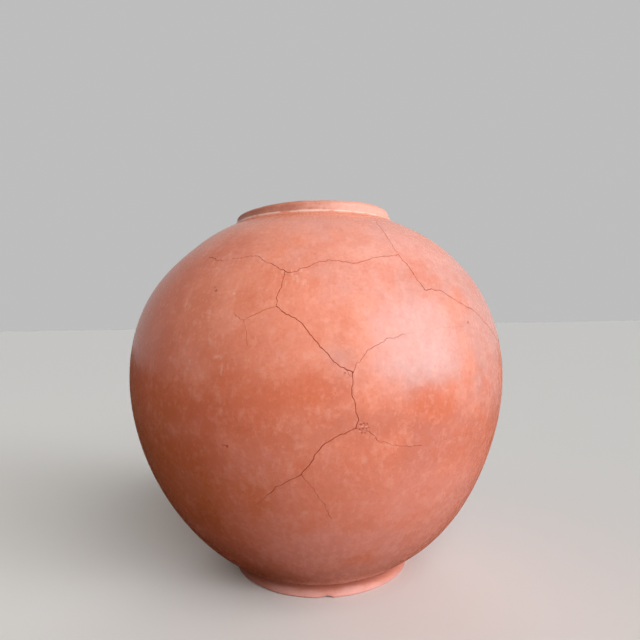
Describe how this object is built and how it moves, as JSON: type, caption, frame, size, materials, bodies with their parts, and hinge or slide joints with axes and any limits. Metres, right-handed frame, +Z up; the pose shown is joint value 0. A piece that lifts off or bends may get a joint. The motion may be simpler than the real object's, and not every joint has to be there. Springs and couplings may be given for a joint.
{
  "type": "ceramic vase",
  "caption": "Globular burnished terracotta vase with a low collar and foot, its wall joined again from sherds along fine break lines; holds stems or stands empty.",
  "frame": {"origin": "centre of the underside of the foot, on the surface that the vase stands on", "axes": "+Z up along the axis of turning, -Y towards the front that shows the forked break lines, +X to the right of that front"},
  "size_m": [0.2798, 0.2798, 0.2685],
  "materials": {
    "burnished_clay": "burnished satin, unglazed",
    "collar_clay": "burnished satin, unglazed",
    "base_clay": "matt, unglazed"
  },
  "bodies": {
    "root": {"base": "base_clay", "left_and_back_sherd": "burnished_clay", "lower_front_sherd": "burnished_clay", "lower_right_sherd": "burnished_clay", "right_belly_sherd": "burnished_clay", "upper_front_sherd": "burnished_clay", "shoulder_sherd": "burnished_clay", "collar": "collar_clay"}
  },
  "joints": []
}
